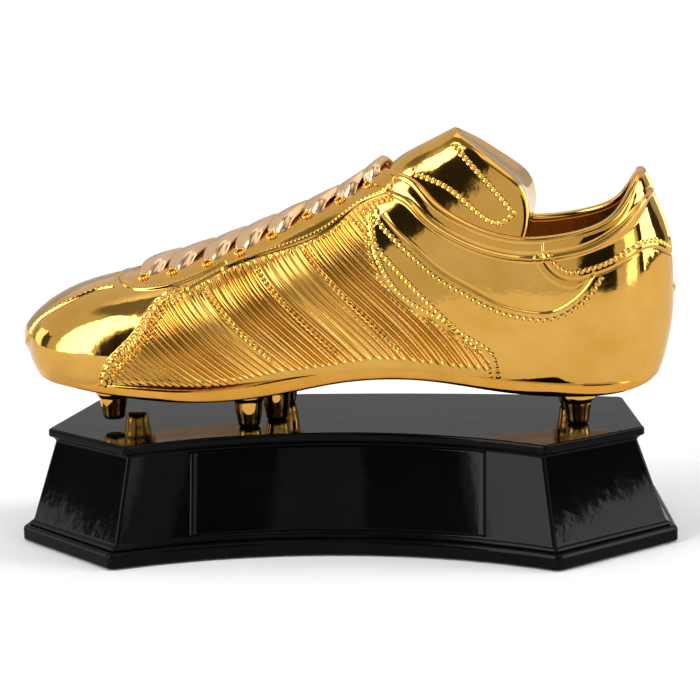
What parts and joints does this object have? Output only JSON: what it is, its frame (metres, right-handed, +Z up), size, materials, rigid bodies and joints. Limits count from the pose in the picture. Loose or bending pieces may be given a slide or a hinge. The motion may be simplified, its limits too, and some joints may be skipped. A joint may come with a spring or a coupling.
{
  "type": "figure trophy",
  "caption": "Gilded football boot with studs, laces and a ribbed side panel, standing on a tapered black gloss plinth with a hollow front and a blank name panel.",
  "frame": {"origin": "centre of the plinth on the surface that it stands on", "axes": "+Z up, +X along the boot from toe to heel, -Y the hollow front of the plinth"},
  "size_m": [0.293, 0.131, 0.1846],
  "materials": {
    "gold": "polished",
    "lacquer": "gloss",
    "felt": "matte",
    "steel": "satin",
    "insert_brass": "satin"
  },
  "bodies": {
    "root": {"felt_pad": "felt", "foot_board": "lacquer", "foot_screws": "steel", "base_body": "lacquer", "cap_board": "lacquer", "name_plate": "lacquer", "fixing_bolts": "steel", "fixing_washers": "steel", "stud_inserts": "insert_brass", "outsole": "gold", "insole": "gold", "upper_shell": "gold", "collar_binding": "gold", "tongue": "gold", "laces": "gold", "eyelets": "gold", "stud_toe_near": "gold", "stud_toe_far": "gold", "stud_ball_near": "gold", "stud_ball_mid": "gold", "stud_ball_far": "gold", "stud_heel_near": "gold", "stud_heel_far": "gold", "side_panel_near": "gold", "side_panel_far": "gold", "eyestay_near": "gold", "eyestay_far": "gold", "heel_counter": "gold", "heel_patch": "gold", "toe_strip": "gold"}
  },
  "joints": []
}
